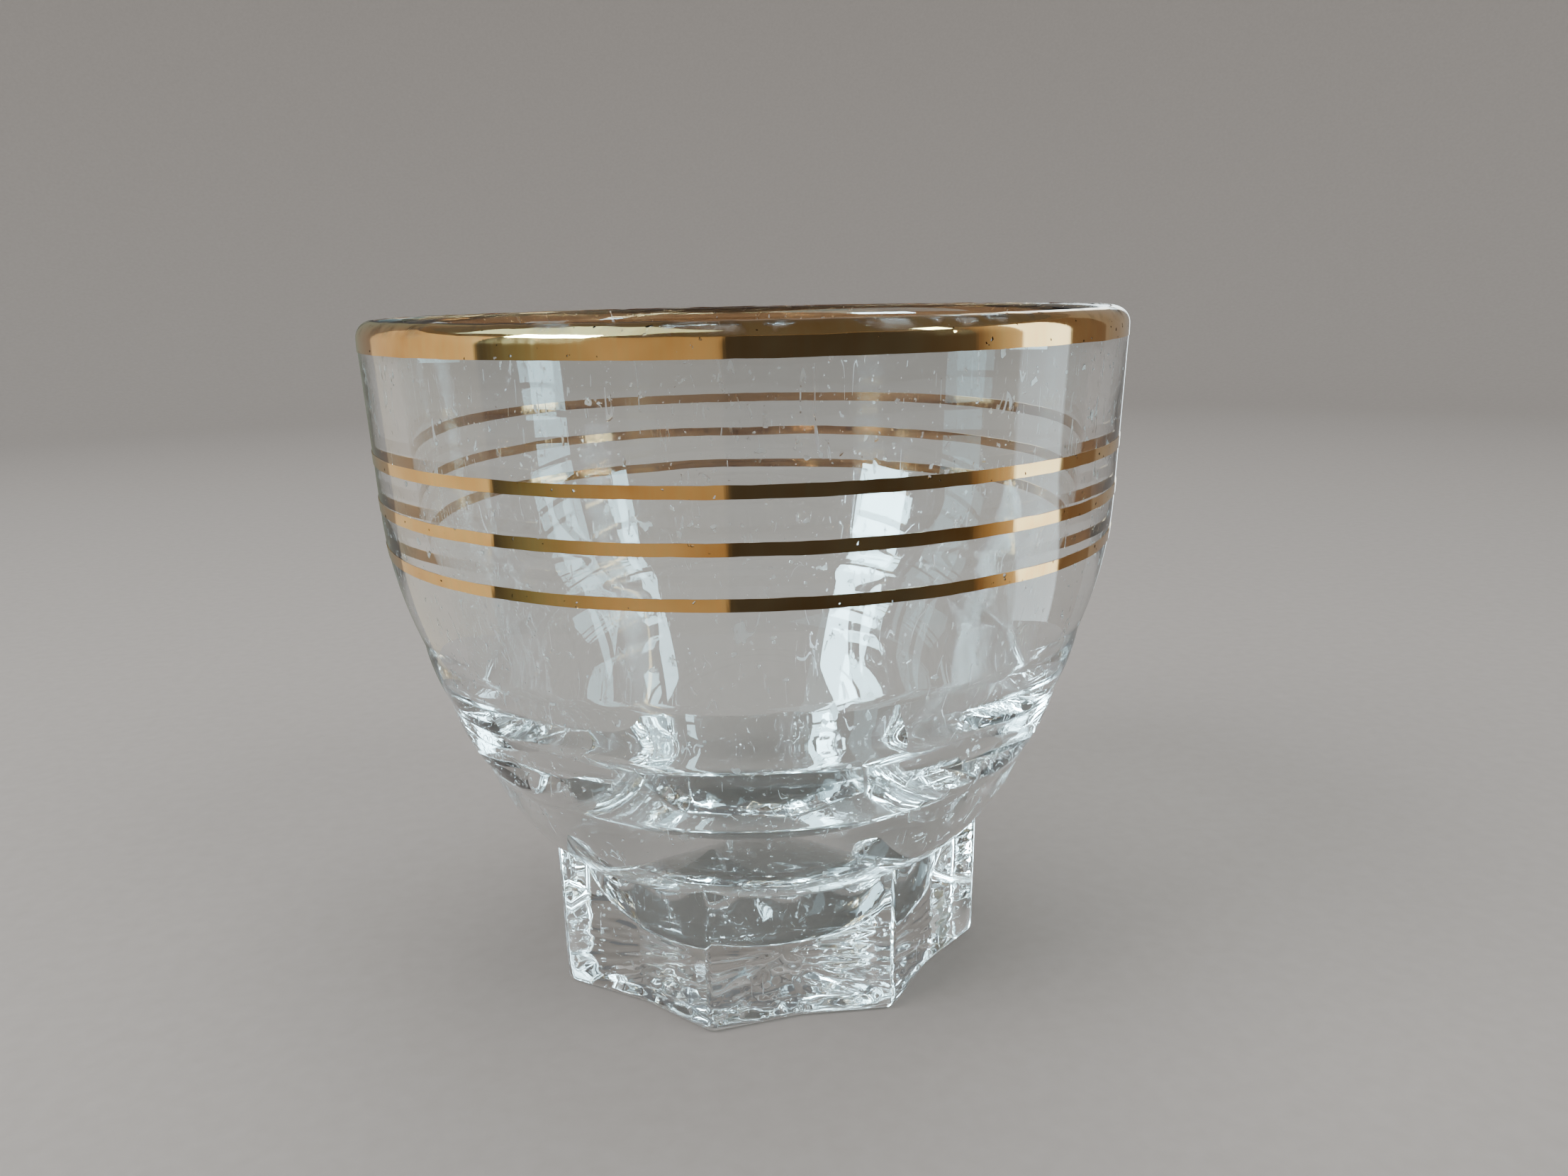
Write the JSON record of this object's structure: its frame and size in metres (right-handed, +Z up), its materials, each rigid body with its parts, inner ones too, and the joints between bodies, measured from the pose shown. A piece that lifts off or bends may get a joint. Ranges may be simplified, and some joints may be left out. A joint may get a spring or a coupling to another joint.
{
  "type": "shot glass",
  "caption": "Footed shot glass in clear pressed glass, with a stepped lower bowl, an eight-sided foot and thin gold lines round the upper bowl and rim.",
  "frame": {"origin": "centre of the underside of the foot", "axes": "+Z up along the glass's own axis, towards the rim; a valley of the eight-sided foot lies on +X and on +Y"},
  "size_m": [0.054, 0.054, 0.0483],
  "materials": {
    "clear_glass": "clear polished pressed glass",
    "fired_gold": "bright fired gold, lightly worn"
  },
  "bodies": {
    "root": {"glass_body": "clear_glass", "rim_gold_band": "fired_gold", "upper_gold_band": "fired_gold", "middle_gold_band": "fired_gold", "lower_gold_band": "fired_gold"}
  },
  "joints": []
}
